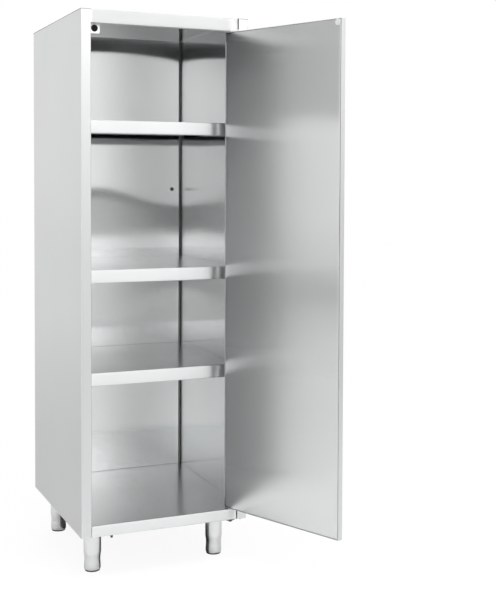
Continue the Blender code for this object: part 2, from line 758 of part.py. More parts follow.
def grip(pan, hinge):
    """Folded grip on the outer face, near the free edge, held by two screws."""
    base = -pivot_y - SEAT_GAP
    edge = -door_reach + GRIP_INSET
    path = [
        (edge + GRIP_BASE, base),
        (edge, base),
        (edge, base - GRIP_STANDOFF),
        (edge + GRIP_LIP, base - GRIP_STANDOFF),
    ]
    low = GRIP_CENTRE - GRIP_HEIGHT / 2
    high = GRIP_CENTRE + GRIP_HEIGHT / 2
    handle = folded_object(
        "grip", path, "xy", low, high, steel, hinge, sheet=GRIP_SHEET, side=1
    )
    spots = []
    for z in (low + GRIP_SCREW_INSET, high - GRIP_SCREW_INSET):
        x = edge + GRIP_SHEET + (GRIP_BASE - GRIP_SHEET) / 2
        spots.append(aimed((x, base - GRIP_SHEET, z), (0.0, 1.0, 0.0)))
    depth = GRIP_SHEET + SEAT_GAP + DOOR_SHEET
    screws("grip_screw", spots, [handle, pan], depth, hinge)


def door(body):
    """The whole door, hung on the empty at its pivot axis and turned to its open rest."""
    angle = math.radians(DOOR_OPEN_ANGLE)
    hinge = add_empty("door_axis", (pivot_x, pivot_y, 0.0), turn=angle, parent=body)
    pan, inner = door_skins(hinge)
    door_stiffener(hinge)
    door_pin("top_pin", door_top, 1, pan, hinge)
    door_pin("bottom_pin", door_bottom, -1, pan, hinge)
    striker(inner, hinge)
    grip(pan, hinge)


def origin_shift():
    """Where the bounding box's middle lies in the body frame, with the door at rest."""
    angle = math.radians(DOOR_OPEN_ANGLE)
    turn = Matrix.Rotation(angle, 2)
    grip_edge = -door_reach + GRIP_INSET
    grip_face = -pivot_y - SEAT_GAP - GRIP_STANDOFF
    corners = [
        Vector((-door_reach, -pivot_y)),
        Vector((-door_reach, pivot_y)),
        Vector((grip_edge, grip_face)),
        Vector((grip_edge + GRIP_LIP, grip_face)),
    ]
    spots = [turn @ corner + Vector((pivot_x, pivot_y)) for corner in corners]
    right = max([half_width] + [spot.x for spot in spots])
    front = min([0.0] + [spot.y for spot in spots])
    return Vector(((right - half_width) / 2, (front + BODY_DEPTH) / 2, 0.0))


def build():
    clear_scene()
    body = add_empty("cabinet_frame", -origin_shift())
    left_side = side_panel("left_side", -1, body)
    side_panel("right_side", 1, body)
    back_panel(body)
    roof = roof_panel(body)
    floor = floor_panel(body)
    floor_channel("floor_channel_left", -1, body)
    floor_channel("floor_channel_right", 1, body)
    leg_set(body)
    shelves(body)
    pivot_seat("top_pivot", rail_bottom, 1, TOP_BUSH_FLANGE, roof, body)
    pivot_seat("bottom_pivot", floor_top, -1, bottom_bush_flange, floor, body)
    magnet_catch(left_side, body)
    door(body)


build()
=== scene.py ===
import json
import math

import bmesh
import bpy
import numpy as np
from mathutils import Matrix, Vector


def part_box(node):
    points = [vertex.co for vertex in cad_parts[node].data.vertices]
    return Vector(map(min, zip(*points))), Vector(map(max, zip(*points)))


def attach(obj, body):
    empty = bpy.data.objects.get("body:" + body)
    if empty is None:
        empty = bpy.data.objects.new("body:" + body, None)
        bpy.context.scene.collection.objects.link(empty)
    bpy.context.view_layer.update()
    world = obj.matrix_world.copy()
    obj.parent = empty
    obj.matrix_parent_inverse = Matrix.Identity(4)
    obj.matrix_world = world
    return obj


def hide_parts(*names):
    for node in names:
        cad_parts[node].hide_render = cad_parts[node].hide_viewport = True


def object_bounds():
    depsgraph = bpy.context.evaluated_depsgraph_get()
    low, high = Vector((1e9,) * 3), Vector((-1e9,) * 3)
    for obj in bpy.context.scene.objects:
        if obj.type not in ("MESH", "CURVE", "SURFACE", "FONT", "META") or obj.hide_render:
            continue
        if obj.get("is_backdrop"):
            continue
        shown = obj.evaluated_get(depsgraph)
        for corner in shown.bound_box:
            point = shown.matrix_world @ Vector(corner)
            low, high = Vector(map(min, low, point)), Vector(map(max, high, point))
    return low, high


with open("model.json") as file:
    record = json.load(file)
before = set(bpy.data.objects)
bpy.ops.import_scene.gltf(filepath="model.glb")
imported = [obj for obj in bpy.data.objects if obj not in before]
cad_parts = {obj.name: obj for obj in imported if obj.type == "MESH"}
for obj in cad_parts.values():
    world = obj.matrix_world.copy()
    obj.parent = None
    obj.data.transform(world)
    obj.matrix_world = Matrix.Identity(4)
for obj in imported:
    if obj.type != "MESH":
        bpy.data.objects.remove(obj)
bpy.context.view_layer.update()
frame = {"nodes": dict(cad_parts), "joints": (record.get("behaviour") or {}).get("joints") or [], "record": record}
nodes = frame["nodes"]
print("frame loaded:", len(nodes), "nodes")

# Shared values of the folded sheet work, in metres
sheetWork = {
    "wall": 0.0012,        # sheet thickness
    "bend": 0.0022,        # radius of a fold's middle line
    "bendSteps": 5,        # points inside each fold
    "flatStep": 0.014,     # longest step across a flat
    "edgeKeep": 0.055,     # flats stay true this far from folds and edges
    "gap": 0.0003,         # seat gap between pieces
    "turnedStep": 0.05,    # longest step along a turned profile
    "mergeWithin": 1e-6,   # points closer than this become one
    "sharpAngle": 32.0,    # edges steeper than this stay sharp, in degrees
}
legPlaces = ("front_left", "front_right", "rear_left", "rear_right")

# Places read from the frame
roofLow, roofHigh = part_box("roof_panel")
floorLow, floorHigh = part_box("floor_panel")
leftLow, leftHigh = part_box("left_side")
backLow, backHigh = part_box("back_panel")
frontY, rearY = roofLow.y, roofHigh.y
leftX, rightX = leftLow.x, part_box("right_side")[1].x
bodyLow, bodyHigh = leftLow.z, roofHigh.z
doorJoint = next(joint for joint in frame["joints"] if joint["child"] == "door")
doorAxis = Vector((doorJoint["pos_m"][0], doorJoint["pos_m"][1], 0.0))
doorOpen = math.radians(-doorJoint["range_deg"][0])
doorTurn = Matrix.Translation(doorAxis) @ Matrix.Rotation(doorOpen, 4, "Z")


# Outline of a bent line: straight runs joined by arcs. Corner i is replaced by an arc of radius bends[i] that
# touches both runs, trimmed by the radius times the tangent of half the turn; each run is divided evenly.
# Gives the points, the unit normals to the left of travel, the running length, the distance to the nearest
# bend and the number of the run that each point belongs to; a bend belongs to the run after it.
def bentLine(corners, bend, flatStep, bendSteps):
    corners = np.array(corners, float)
    runs = np.diff(corners, axis=0)
    ways = runs / np.linalg.norm(runs, axis=1)[:, None]
    cross = ways[:-1, 0] * ways[1:, 1] - ways[:-1, 1] * ways[1:, 0]
    turns = np.arctan2(cross, (ways[:-1] * ways[1:]).sum(1))
    bends = np.broadcast_to(np.array(bend, float), turns.shape)
    trims = np.concatenate([[0.0], bends * np.tan(np.abs(turns) / 2), [0.0]])
    spots, headings, slack, owner = [], [], [], []
    for index, way in enumerate(ways):
        start = corners[index] + way * trims[index]
        stop = corners[index + 1] - way * trims[index + 1]
        length = np.linalg.norm(stop - start)
        share = np.linspace(0.0, 1.0, max(2, int(np.ceil(length / flatStep)) + 1))
        spots.append(start + (stop - start) * share[:, None])
        headings.append(np.repeat(way[None], len(share), axis=0))
        slack.append(np.minimum(share, 1.0 - share) * length)
        owner.append(np.full(len(share), index))
        if index < len(turns):
            spin = turns[index] * np.linspace(0.0, 1.0, bendSteps + 2)[1:-1]
            centre = stop + np.sign(turns[index]) * bends[index] * np.array([-way[1], way[0]])
            arm = stop - centre
            turnAll = np.array([[np.cos(spin), -np.sin(spin)], [np.sin(spin), np.cos(spin)]])
            spots.append(centre + np.einsum("ijk,j->ki", turnAll, arm))
            headings.append(np.einsum("ijk,j->ki", turnAll, way))
            slack.append(np.zeros(len(spin)))
            owner.append(np.full(len(spin), index + 1))
    spots, headings = np.concatenate(spots), np.concatenate(headings)
    normals = np.stack([-headings[:, 1], headings[:, 0]], axis=1)
    steps = np.linalg.norm(np.diff(spots, axis=0), axis=1)
    along = np.concatenate([[0.0], np.cumsum(steps)])
    return spots, normals, along, np.concatenate(slack), np.concatenate(owner)


# Moves a line of straight runs sideways by a distance, to the left of its travel, with mitred corners.
def sideLine(corners, distance):
    corners = np.array(corners, float)
    runs = np.diff(corners, axis=0)
    ways = runs / np.linalg.norm(runs, axis=1)[:, None]
    normals = np.stack([-ways[:, 1], ways[:, 0]], axis=1)
    mitres = (normals[:-1] + normals[1:]) / (1.0 + (normals[:-1] * normals[1:]).sum(1))[:, None]
    return corners + np.concatenate([normals[:1], mitres, normals[-1:]]) * distance


# Quads between neighbouring rows and columns of a grid of points; the columns may close on themselves.
def gridQuads(rows, columns, closed):
    row = np.arange(rows - 1)[:, None]
    column = np.arange(columns if closed else columns - 1)[None, :]
    after = (column + 1) % columns
    corners = [row * columns + column, row * columns + after]
    corners += [(row + 1) * columns + after, (row + 1) * columns + column]
    return np.stack(corners, axis=-1).reshape(-1, 4)


# A folded sheet: point (u, v) is the bent line at u, moved half the wall to either side and by wave(u, v)
# along its normal, and carried to v along the third axis. Both faces, the two long edges and the two ends
# close it. warp(points) may then push every point on. Finishes, one or one for each run, go to the faces on
# either side of the line.
def foldedShell(corners, plane, start, end, side=1, wall=None, wave=None, bend=None, step=None, warp=None,
                leftFinish=0, rightFinish=0):
    wall = wall or sheetWork["wall"]
    line = sideLine(corners, side * wall / 2)
    spots, normals, along, slack, owner = bentLine(
        line, bend or sheetWork["bend"], step or sheetWork["flatStep"], sheetWork["bendSteps"])
    count = max(2, int(np.ceil((end - start) / (step or sheetWork["flatStep"]))) + 1)
    levels = np.linspace(start, end, count)
    shift = np.zeros((count, len(spots)))
    if wave:
        hold = np.minimum(slack / sheetWork["edgeKeep"], 1.0)
        hold = hold * hold * (3.0 - 2.0 * hold)
        shift = wave(along[None], levels[:, None]) * hold[None]
    face = spots[None] + normals[None] * (shift + wall / 2)[..., None]
    back = spots[None] + normals[None] * (shift - wall / 2)[..., None]
    loop = np.concatenate([face, back[:, ::-1]], axis=1)
    first, second = ("xyz".index(letter) for letter in plane)
    points = np.zeros((*loop.shape[:2], 3))
    points[..., first], points[..., second] = loop[..., 0], loop[..., 1]
    points[..., 3 - first - second] = levels[:, None]
    width = len(spots)
    quads = [gridQuads(count, 2 * width, True)]
    near = np.arange(width - 1)
    cap = np.stack([near, near + 1, 2 * width - 2 - near, 2 * width - 1 - near], axis=1)
    quads += [cap, cap + (count - 1) * 2 * width]
    chart = np.broadcast_to(np.concatenate([along, along[::-1]])[None], loop.shape[:2])
    uv = np.stack([chart, np.broadcast_to(levels[:, None], loop.shape[:2])], axis=-1)
    runs = owner.max() + 1
    left, right = (np.broadcast_to(choice, runs)[owner] for choice in (leftFinish, rightFinish))
    ring = np.concatenate([left, right[::-1]])
    finish = np.concatenate([np.tile(ring, count - 1), np.tile(left[:-1], 2)])
    points = points.reshape(-1, 3)
    if warp:
        points = warp(points)
    return points, np.concatenate(quads), uv.reshape(-1, 2), finish


# A turned shape: point (u, v) is (r(u) cos v, r(u) sin v, h(u)), with the profile's radius r and height h,
# about the place's Z.
def turnedShell(corners, bend, place, sides=48, closed=False, steps=4):
    if closed:
        corners = list(corners) + [corners[0]]
    spots, _, along, _, _ = bentLine(corners, bend, sheetWork["turnedStep"], steps)
    if closed:
        spots, along = spots[:-1], along[:-1]
    angles = np.arange(sides) * 2 * np.pi / sides
    radius, height = spots[:, :1], spots[:, 1:]
    level = np.broadcast_to(height, (len(spots), sides))
    grid = np.stack([radius * np.cos(angles), radius * np.sin(angles), level], axis=-1)
    quads = gridQuads(len(spots), sides, True)
    if closed:
        first = np.arange(sides)
        last = first + (len(spots) - 1) * sides
        seam = np.stack([last, np.roll(last, -1), np.roll(first, -1), first], axis=1)
        quads = np.concatenate([quads, seam])
    turn = np.array(place)
    points = grid.reshape(-1, 3) @ turn[:3, :3].T + turn[:3, 3]
    uv = np.stack([np.broadcast_to(angles * spots[:, 0].max(), (len(spots), sides)),
                   np.broadcast_to(along[:, None], (len(spots), sides))], axis=-1)
    return points, quads, uv.reshape(-1, 2), 0


# A flat plate: an outline carried through its thickness, with a fan of faces on each side.
def plateShell(outline, plane, start, end):
    outline = np.array(outline, float)
    count = len(outline)
    first, second = ("xyz".index(letter) for letter in plane)
    points = np.zeros((2, count + 1, 3))
    rim = np.concatenate([outline, outline.mean(0)[None]])
    points[..., first], points[..., second] = rim[None, :, 0], rim[None, :, 1]
    points[..., 3 - first - second] = np.array([start, end])[:, None]
    here = np.arange(count)
    after = (here + 1) % count
    walls = np.stack([here, after, after + count + 1, here + count + 1], axis=1)
    fan = np.stack([here, after, np.full(count, count)], axis=1)
    faces = [*walls.tolist(), *fan.tolist(), *(fan + count + 1).tolist()]
    points = points.reshape(-1, 3)
    return points, faces, points[:, [first, second]], 0


# A place at a point, with its Z along a direction
def aimed(point, direction):
    turn = Vector((0.0, 0.0, 1.0)).rotation_difference(Vector(direction))
    return Matrix.Translation(Vector(point)) @ turn.to_matrix().to_4x4()


# Joins shells into one object, turns the faces outwards and shades all but the sharp edges smooth.
def makePiece(name, shells, materials, replaced=(), body="cabinet", place=None):
    points, faces, charts, finishes, base = [], [], [], [], 0
    for shellPoints, shellFaces, shellChart, shellFinish in shells:
        points.append(shellPoints)
        charts.append(shellChart)
        faces += [tuple(int(corner) + base for corner in face) for face in shellFaces]
        finishes.append(np.broadcast_to(shellFinish, len(shellFaces)))
        base += len(shellPoints)
    points, charts = np.concatenate(points), np.concatenate(charts)
    if place is not None:
        turn = np.array(place)
        points = points @ turn[:3, :3].T + turn[:3, 3]
    mesh = bpy.data.meshes.new(name)
    mesh.from_pydata(points, [], faces)
    chart = mesh.uv_layers.new(name="sheet")
    corners = np.empty(len(mesh.loops), np.int32)
    mesh.loops.foreach_get("vertex_index", corners)
    chart.data.foreach_set("uv", charts[corners].astype(np.float32).ravel())
    mesh.polygons.foreach_set("material_index", np.concatenate(finishes).astype(np.int32))
    edit = bmesh.new()
    edit.from_mesh(mesh)
    bmesh.ops.remove_doubles(edit, verts=edit.verts, dist=sheetWork["mergeWithin"])
    bmesh.ops.recalc_face_normals(edit, faces=edit.faces)
    edit.to_mesh(mesh)
    edit.free()
    for material in materials:
        mesh.materials.append(material)
    mesh.shade_smooth()
    mesh.set_sharp_from_angle(angle=math.radians(sheetWork["sharpAngle"]))
    piece = bpy.data.objects.new(name, mesh)
    bpy.context.scene.collection.objects.link(piece)
    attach(piece, body)
    if replaced:
        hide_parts(*replaced)
    return piece


# Materials

steelLook = {
    "tint": (0.722, 0.729, 0.730),
    "tintDark": (0.680, 0.687, 0.689),
    "grainFine": 7000.0,         # grain lines a metre, across the brushing
    "grainLong": 170.0,          # and along it
    "lineDetail": 3.0,
    "cloudScale": 3.0,           # slow clouds in the gloss
    "cloudDetail": 4.0,
    "lineShare": 0.5,            # weight of the lines against the clouds
    "mixRange": (0.45, 1.05),    # sum of lines and clouds, from the smoothest place to the roughest
    "hingeShadeRun": (-0.15, 0.225),   # where the painted shade toward the hinge side starts and ends, along X
}
plasticLook = {"grain": 600.0, "detail": 3.0, "peel": 0.00004}


def nodeMaterial(name):
    material = bpy.data.materials.new(name)
    material.use_nodes = True
    tree = material.node_tree
    return material, tree, tree.nodes["Principled BSDF"]


# The next three put a node into a tree and link a socket to it.
def noiseNode(tree, vector, scale, detail):
    noise = tree.nodes.new("ShaderNodeTexNoise")
    noise.inputs["Scale"].default_value = scale
    noise.inputs["Detail"].default_value = detail
    tree.links.new(vector, noise.inputs["Vector"])
    return noise.outputs["Fac"]


def rangeNode(tree, value, fromRange, toRange):
    scaled = tree.nodes.new("ShaderNodeMapRange")
    for label, level in zip(("From Min", "From Max", "To Min", "To Max"), (*fromRange, *toRange)):
        scaled.inputs[label].default_value = level
    tree.links.new(value, scaled.inputs["Value"])
    return scaled


def tintNode(tree, factor, dark, light):
    tint = tree.nodes.new("ShaderNodeMix")
    tint.data_type = "RGBA"
    tint.inputs["A"].default_value = (*dark, 1.0)
    tint.inputs["B"].default_value = (*light, 1.0)
    tree.links.new(factor, tint.inputs["Factor"])
    return tint.outputs["Result"]


# A Math or VectorMath node. Its inputs, by number or name, take plain numbers or other nodes' sockets.
def mathNode(tree, kind, operation, inputs, result=0):
    node = tree.nodes.new("ShaderNode" + kind)
    node.operation = operation
    for label, value in inputs.items():
        if isinstance(value, float):
            node.inputs[label].default_value = value
        else:
            tree.links.new(value, node.inputs[label])
    return node.outputs[result]


# Brushed stainless sheet. Brushing runs along V of the piece's chart, so light spreads along U. The shader's
# own anisotropy does part of that. Fine lines, noise stretched along V, tip the normal along U for the rest.
# The tint is scaled by tone, which makes lighter and darker copies of the one steel as painted light and
# shade, and is darkened toward the hinge side as painted shade.
def stainless(name, roughness, spread, aniso=0.3, tip=0.0, tone=1.0, hingeShade=1.0):
    material, tree, shader = nodeMaterial(name)
    links, new = tree.links, tree.nodes.new
    shader.inputs["Metallic"].default_value = 1.0
    shader.inputs["Anisotropic"].default_value = aniso
    tangent = new("ShaderNodeTangent")
    tangent.direction_type = "UV_MAP"
    tangent.uv_map = "sheet"
    links.new(tangent.outputs["Tangent"], shader.inputs["Tangent"])
    chart = new("ShaderNodeUVMap")
    chart.uv_map = "sheet"
    stretch = new("ShaderNodeMapping")
    stretch.inputs["Scale"].default_value = (steelLook["grainFine"], steelLook["grainLong"], 1.0)
    links.new(chart.outputs["UV"], stretch.inputs["Vector"])
    lines = noiseNode(tree, stretch.outputs["Vector"], 1.0, steelLook["lineDetail"])
    place = new("ShaderNodeTexCoord").outputs["Object"]
    clouds = noiseNode(tree, place, steelLook["cloudScale"], steelLook["cloudDetail"])
    mixed = mathNode(tree, "Math", "MULTIPLY_ADD", {0: lines, 1: steelLook["lineShare"], 2: clouds})
    rough = rangeNode(tree, mixed, steelLook["mixRange"], (roughness - spread, roughness + spread))
    links.new(rough.outputs["Result"], shader.inputs["Roughness"])
    dark, light = ([value * tone for value in steelLook[tint]] for tint in ("tintDark", "tint"))
    split = new("ShaderNodeSeparateXYZ")
    links.new(place, split.inputs["Vector"])
    # painted shade: the tint darkens along X toward the hinge side
    hingeShadeLevel = rangeNode(tree, split.outputs["X"], steelLook["hingeShadeRun"], (1.0, hingeShade))
    tint = tintNode(tree, lines, dark, light)
    toned = mathNode(tree, "VectorMath", "SCALE", {0: tint, "Scale": hingeShadeLevel.outputs["Result"]})
    links.new(toned, shader.inputs["Base Color"])
    if not tip:
        return material
    amount = rangeNode(tree, lines, (0.0, 1.0), (-tip, tip))
    amount.clamp = False
    across = {0: tangent.outputs["Tangent"], "Scale": amount.outputs["Result"]}
    push = mathNode(tree, "VectorMath", "SCALE", across)
    normal = new("ShaderNodeNewGeometry").outputs["Normal"]
    tipped = mathNode(tree, "VectorMath", "ADD", {0: normal, 1: push})
    links.new(mathNode(tree, "VectorMath", "NORMALIZE", {0: tipped}), shader.inputs["Normal"])
    return material


# Moulded plastic: a speckle in the colour and a fine orange-peel bump
def moulded(name, colour, roughness, speckle=0.12, gloss=0.5):
    material, tree, shader = nodeMaterial(name)
    place = tree.nodes.new("ShaderNodeTexCoord").outputs["Object"]
    noise = noiseNode(tree, place, plasticLook["grain"], plasticLook["detail"])
    dark = [value * (1 - speckle) for value in colour]
    light = [min(1.0, value * (1 + speckle)) for value in colour]
    tree.links.new(tintNode(tree, noise, dark, light), shader.inputs["Base Color"])
    bump = tree.nodes.new("ShaderNodeBump")
    bump.inputs["Distance"].default_value = plasticLook["peel"]
    tree.links.new(noise, bump.inputs["Height"])
    tree.links.new(bump.outputs["Normal"], shader.inputs["Normal"])
    shader.inputs["Roughness"].default_value = roughness
    shader.inputs["Specular IOR Level"].default_value = gloss
    return material


# Each finish with its roughness and how far that varies, and a tone. The tones are painted light and shade:
# lighter copies of the one steel where the sheet should look lit, most of all the walls, tray, lips and
# undersides deep in the cupboard, and darker copies where shade falls.
outerSteel = stainless("outer_steel", 0.32, 0.03, tone=0.95)
faceSteel = stainless("face_steel", 0.42, 0.03, aniso=0.2, tone=1.15)
wallSteel = stainless("wall_steel", 0.09, 0.01, aniso=1.0, tip=0.54, tone=1.34)
leftWallSteel = stainless("left_wall_steel", 0.56, 0.04, tone=1.36)
rightWallSteel = stainless("right_wall_steel", 0.09, 0.01, aniso=1.0, tip=0.46, tone=1.10)
# The tray steel is darkened toward the hinge side, painted shade for its reflection in the right wall
traySteel = stainless("tray_steel", 0.24, 0.03, aniso=0.6, tip=0.10, tone=1.32, hingeShade=0.60)
# The shelves' undersides are lightened by their tone, painted light in the shade under each shelf
undersideSteel = stainless("underside_steel", 0.42, 0.04, tone=1.20)
lipSteel = stainless("lip_steel", 0.40, 0.04, aniso=1.0, tip=0.3, tone=1.24)
railSteel = stainless("rail_steel", 0.40, 0.04, aniso=1.0, tip=0.3, tone=1.08)
doorSteel = stainless("door_steel", 0.15, 0.02, aniso=1.0, tip=0.13, tone=1.12)
edgeSteel = stainless("edge_steel", 0.45, 0.04, tone=1.18)
# The roof's underside is darkened by its tone, painted shade
roofShadeSteel = stainless("roof_shade_steel", 0.14, 0.02, tone=0.36)
topSteel = stainless("top_steel", 0.28, 0.03, aniso=0.6, tip=0.1)
# The shade steel is the steel darkened to a fifth, painted shade for grooves, the rail's inner side and the
# hardware under the floor's fold
shadeSteel = stainless("shade_steel", 0.36, 0.05, aniso=0.2, tone=0.18)
tubeSteel = stainless("tube_steel", 0.28, 0.04, aniso=0.2, tone=1.22)
innerSteel = stainless("inner_steel", 0.34, 0.06, aniso=0.2, tone=0.8)
screwSteel = stainless("screw_steel", 0.22, 0.04, aniso=0.0)
strikerSteel = stainless("striker_steel", 0.50, 0.05, aniso=0.0, tone=1.34)
magnetBlack = moulded("magnet_black", (0.006, 0.006, 0.007), 0.45, gloss=0.12)
nylonWhite = moulded("nylon_white", (0.70, 0.70, 0.66), 0.45, speckle=0.04)
solePad = moulded("sole_plastic", (0.055, 0.055, 0.058), 0.55)
print("materials made")

# Body

sidePanel = {
    "stileWidth": 0.035, "stileDepth": 0.0225, "stileFlange": 0.018, "rearFlange": 0.020,
    "bulge": 0.0003, "bulgeAcross": 0.55, "bulgeUp": 0.83, "bulgePhase": 1.1,
}
swellShape = {"ripple": 0.4, "rippleRun": 0.37}      # second wave's height and length, as shares of the first


# Slow swells of a wall between its folds: a sine across times a sine up the sheet, plus a shorter sine up it
def wallWave(height, across, up, phase):
    def wave(along, level):
        swell = np.sin(along * 2 * np.pi / across + phase) * np.sin(level * 2 * np.pi / up + 2.0 * phase)
        ripple = np.sin(level * 2 * np.pi / (swellShape["rippleRun"] * up) + 5.0 * phase)
        return height * (swell + swellShape["ripple"] * ripple)
    return wave


sides = (("left_side", -1, leftX, leftWallSteel), ("right_side", 1, rightX, rightWallSteel))
for name, sign, edge, wallFinish in sides:
    inner = edge - sign * sidePanel["stileWidth"]
    corners = [
        (edge - sign * sidePanel["rearFlange"], rearY),
        (edge, rearY),
        (edge, frontY),
        (inner, frontY),
        (inner, frontY + sidePanel["stileDepth"]),
        (inner + sign * sidePanel["stileFlange"], frontY + sidePanel["stileDepth"]),
    ]
    wave = wallWave(sidePanel["bulge"], sidePanel["bulgeAcross"], sidePanel["bulgeUp"],
                    sidePanel["bulgePhase"] + sign)
    faces = [1, [0, 0, 2, 2, 2]]                     # inner side, and outer side run by run
    left, right = faces if sign < 0 else faces[::-1]
    shell = foldedShell(corners, "xy", bodyLow, leftHigh.z, side=-sign, wave=wave, leftFinish=left,
                        rightFinish=right)
    makePiece(name + "_sheet", [shell], [outerSteel, wallFinish, faceSteel], [name])

backPanel = {
    "inset": 0.0026,       # the sheet stands this far off both walls
    "bend": 0.0048,
    "leanStart": -0.0030,  # the top edge stands this far forward
    "lean": 0.050,         # slope rearwards below the riveted top edge
    "leanRun": 0.058,      # over this height
    "leanEase": 0.120,     # and the height in which it dies out
    "leanSide": 0.65,      # share of it at the side folds
    "roundness": 0.6,      # power of the sine that carries the lean across the sheet
    "swell": 0.0008,       # slack of the sheet between the shelves
    "upperSwell": (0.70, 0.42, 1.39, 0.20),     # each bay: foot, rise above it, top, fall below it
    "lowerSwell": (0.16, 0.20, 0.66, 0.25), "lowerShare": 0.5,
    "buckle": 0.0024,      # forward buckle beside the right fold, between the upper and the middle shelf
    "buckleBay": (0.76, 0.28, 1.43, 0.22),
    "buckleReach": 0.36,   # how far from the right fold it fades out
}


# 3 t squared less 2 t cubed, of a value t held between 0 and 1
def smoothStep(value):
    value = np.clip(value, 0.0, 1.0)
    return value * value * (3.0 - 2.0 * value)


# 1 inside a bay, easing in over the rise above its foot and out over the fall below its top
def bayShare(height, foot, rise, top, fall):
    return smoothStep((top - height) / fall) * smoothStep((height - foot) / rise)


# Push to the rear: lean times the depth d under the top edge up to leanRun, then easing out as
# d - d*d / (2 ease), plus a swell in each bay. The buckle comes forward by less than the lean went back. The
# side flanges' rear edges stay in place.
def backWarp(points):
    x, y, z = points.T
    across = np.sin(np.clip((x - backLow.x) / (backHigh.x - backLow.x), 0.0, 1.0) * np.pi)
    depth = backHigh.z - z
    run, easeRun, side = backPanel["leanRun"], backPanel["leanEase"], backPanel["leanSide"]
    ease = np.clip(depth - run, 0.0, easeRun)
    lean = backPanel["lean"] * (np.clip(depth, 0.0, run) + ease - ease ** 2 / (2 * easeRun))
    swell = bayShare(z, *backPanel["upperSwell"])
    swell = swell + backPanel["lowerShare"] * bayShare(z, *backPanel["lowerSwell"])
    near = smoothStep((x - backHigh.x + backPanel["buckleReach"]) / backPanel["buckleReach"])
    push = (lean + backPanel["leanStart"]) * (side + (1.0 - side) * across ** backPanel["roundness"])
    push += backPanel["swell"] * swell * across
    push -= backPanel["buckle"] * near * bayShare(z, *backPanel["buckleBay"])
    points = points.copy()
    points[:, 1] += push * np.clip((backHigh.y - y) / (backHigh.y - backLow.y), 0.0, 1.0)
    return points


backLeft, backRight = backLow.x + backPanel["inset"], backHigh.x - backPanel["inset"]
corners = [(backLeft, backHigh.y), (backLeft, backLow.y), (backRight, backLow.y), (backRight, backHigh.y)]
# Painted shade: the side flanges and their folds take the shade steel, a dark line in each rear corner
shell = foldedShell(corners, "xy", bodyLow, backHigh.z, warp=backWarp, bend=backPanel["bend"],
                    leftFinish=[1, 2, 1], rightFinish=[1, 0, 1])
makePiece("back_sheet", [shell], [wallSteel, shadeSteel, outerSteel], ["back_panel"])

roofPanel = {
    "return": 0.020, "hem": 0.012,
    "slit": 0.0044,        # width of the slit in the rail's hinge end
    "slitFoot": 0.008,     # what is left of the rail below it
    "sag": 0.0006, "sagAcross": 0.9, "sagUp": 0.7, "sagPhase": 0.4,
}
railEnd = sidePanel["stileWidth"] + sheetWork["gap"]
railBottom = roofLow.z
railLeft, railRight = leftX + railEnd, rightX - railEnd
hem = [
    (frontY, railBottom),
    (frontY + roofPanel["return"], railBottom),
    (frontY + roofPanel["return"], railBottom + roofPanel["hem"]),
]
roofWave = wallWave(-roofPanel["sag"], roofPanel["sagAcross"], roofPanel["sagUp"], roofPanel["sagPhase"])
roofTop = [(rearY, bodyHigh), (frontY, bodyHigh)]
slitLeft = railRight - roofPanel["slit"]
# Painted shade: the roof's underside takes the darkened roof steel, and the rail's inner face, its return and hem
# take the shade steel
shells = [
    foldedShell(roofTop + hem, "yz", railLeft, slitLeft, wave=roofWave, leftFinish=[2, 3, 3, 3],
                rightFinish=[0, 1, 1, 3]),
    foldedShell([(frontY, railBottom + roofPanel["slitFoot"])] + hem, "yz", slitLeft, railRight,
                leftFinish=3, rightFinish=[1, 1, 3]),
    foldedShell(roofTop, "yz", leftX, railLeft, leftFinish=2),
    foldedShell(roofTop, "yz", slitLeft, rightX, leftFinish=2),
]
roofFinishes = [topSteel, railSteel, roofShadeSteel, shadeSteel]
makePiece("roof_sheet", shells, roofFinishes, ["roof_panel"])

floorPanel = {
    "return": 0.018, "rearFlange": 0.030,
    "slit": 0.0044,        # the lower pivot's slit, as in the rail
    "slitTop": 0.003,      # what is left of the lip above it
    "slitDepth": 0.0042,   # and how far back it cuts into the fold below
    "notch": 0.0228,       # the floor stops this far behind the stiles' faces
    "bends": (0.0010, 0.0022, 0.0022), "slitBend": 0.0012,
}
lipFold = [(frontY, floorHigh.z), (frontY, bodyLow), (frontY + floorPanel["return"], bodyLow)]
rearFold = [(floorHigh.y, floorHigh.z - floorPanel["rearFlange"]), (floorHigh.y, floorHigh.z)]
slitLine = [(frontY, floorHigh.z), (frontY, floorHigh.z - floorPanel["slitTop"])]
slitFold = [(frontY + floorPanel["slitDepth"], bodyLow), (frontY + floorPanel["return"], bodyLow)]
sideLeaf = [(frontY + floorPanel["notch"], floorHigh.z)]
slitLeft = railRight - floorPanel["slit"]
shells = [
    foldedShell(rearFold + lipFold, "yz", railLeft, slitLeft, bend=floorPanel["bends"],
                rightFinish=[0, 0, 1, 0]),
    foldedShell(rearFold + slitLine, "yz", slitLeft, railRight, bend=floorPanel["slitBend"],
                rightFinish=[0, 0, 1]),
    foldedShell(slitFold, "yz", slitLeft, railRight),
    foldedShell(rearFold + sideLeaf, "yz", floorLow.x, railLeft),
    foldedShell(rearFold + sideLeaf, "yz", railRight, floorHigh.x),
]
makePiece("floor_sheet", shells, [traySteel, lipSteel], ["floor_panel"])
print("body made")

# Shelves

shelfTray = {
    "lip": 0.045, "return": 0.016, "hem": 0.008, "rearFlange": 0.022,
    "bends": (0.0010, 0.0030, 0.0030, 0.0030),
}
for name in ("shelf_lower", "shelf_middle", "shelf_upper"):
    low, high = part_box(name)
    lipFoot, returnEnd = high.z - shelfTray["lip"], low.y + shelfTray["return"]
    corners = [
        (high.y, high.z - shelfTray["rearFlange"]),
        (high.y, high.z),
        (low.y, high.z),
        (low.y, lipFoot),
        (returnEnd, lipFoot),
        (returnEnd, lipFoot + shelfTray["hem"]),
    ]
    shell = foldedShell(corners, "yz", low.x, high.x, bend=shelfTray["bends"], leftFinish=2,
                        rightFinish=[0, 0, 1, 1, 2])
    makePiece(name + "_tray", [shell], [traySteel, lipSteel, undersideSteel], [name], name)
print("shelves made")

# Door: modelled closed, then turned open about its pins

